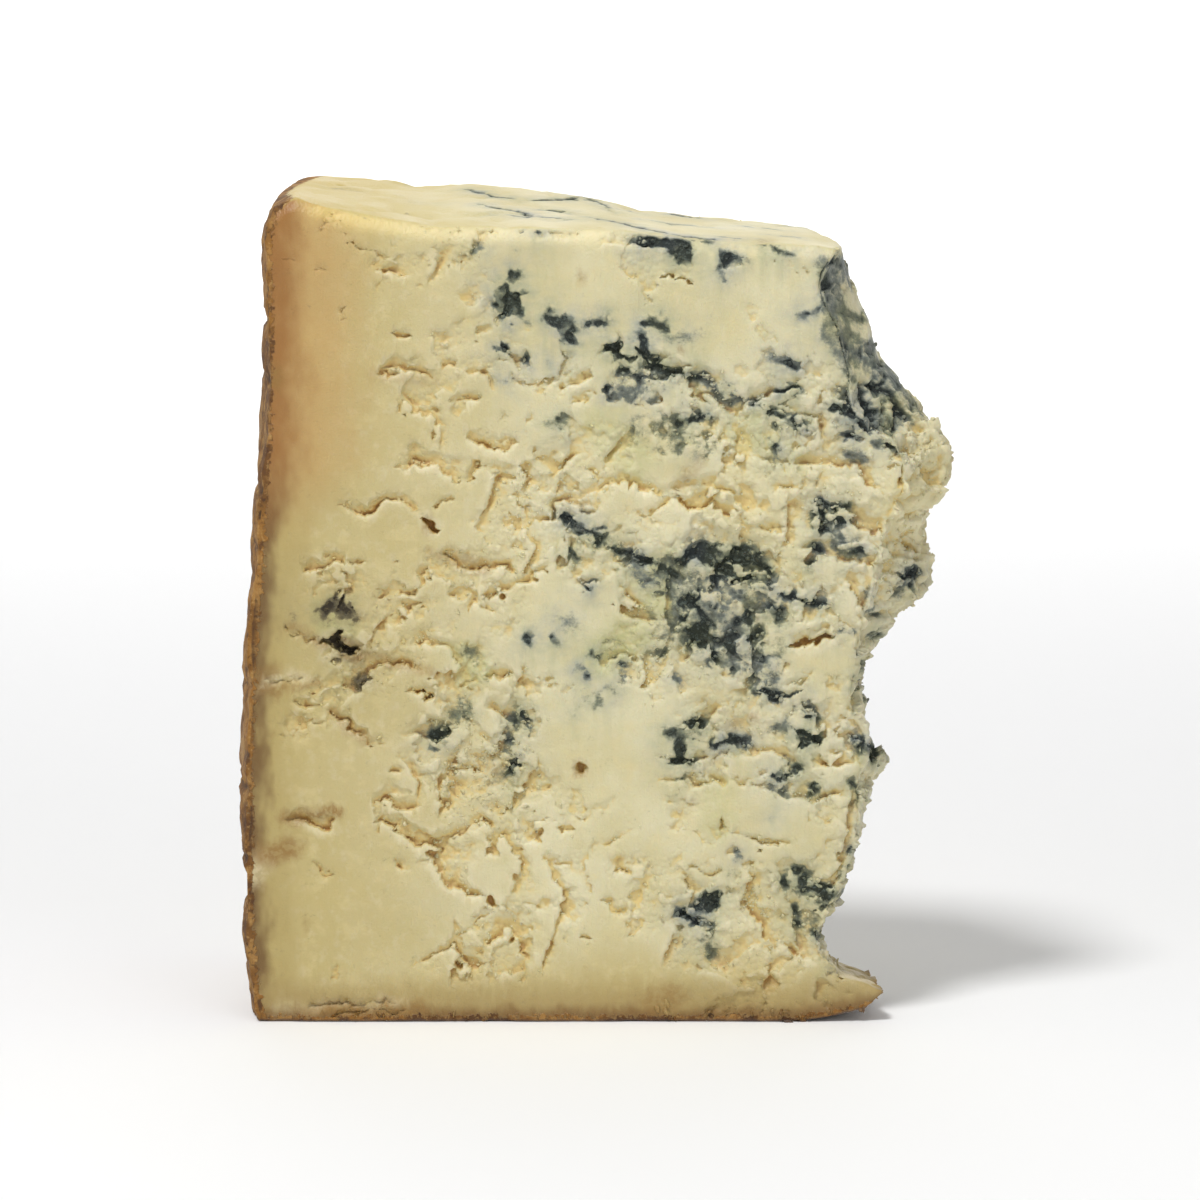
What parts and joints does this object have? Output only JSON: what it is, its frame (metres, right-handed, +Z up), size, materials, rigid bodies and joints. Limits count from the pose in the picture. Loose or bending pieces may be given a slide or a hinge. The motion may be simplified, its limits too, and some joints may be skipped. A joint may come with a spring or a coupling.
{
  "type": "blue cheese wedge",
  "caption": "Tall wedge of blue-veined cheese standing on its base rind, with two cut faces, a brown rind side and a crumbled broken end.",
  "frame": {"origin": "middle of the base's bounding box, on the surface the wedge stands on", "axes": "+Z up from the base rind to the top cut; +X from the rind side to the broken end; the front cut faces -Y and the back cut +Y"},
  "size_m": [0.1012, 0.0448, 0.1169],
  "materials": {
    "cheese_paste": "moist cut cheese, cream to straw, with blue-green veins",
    "cheese_rind": "dry brown crust, rough and pitted, with pale bloom",
    "blue_mould": "dark blue-green mould, velvety"
  },
  "bodies": {
    "root": {"cheese_wedge": "cheese_paste"}
  },
  "joints": []
}
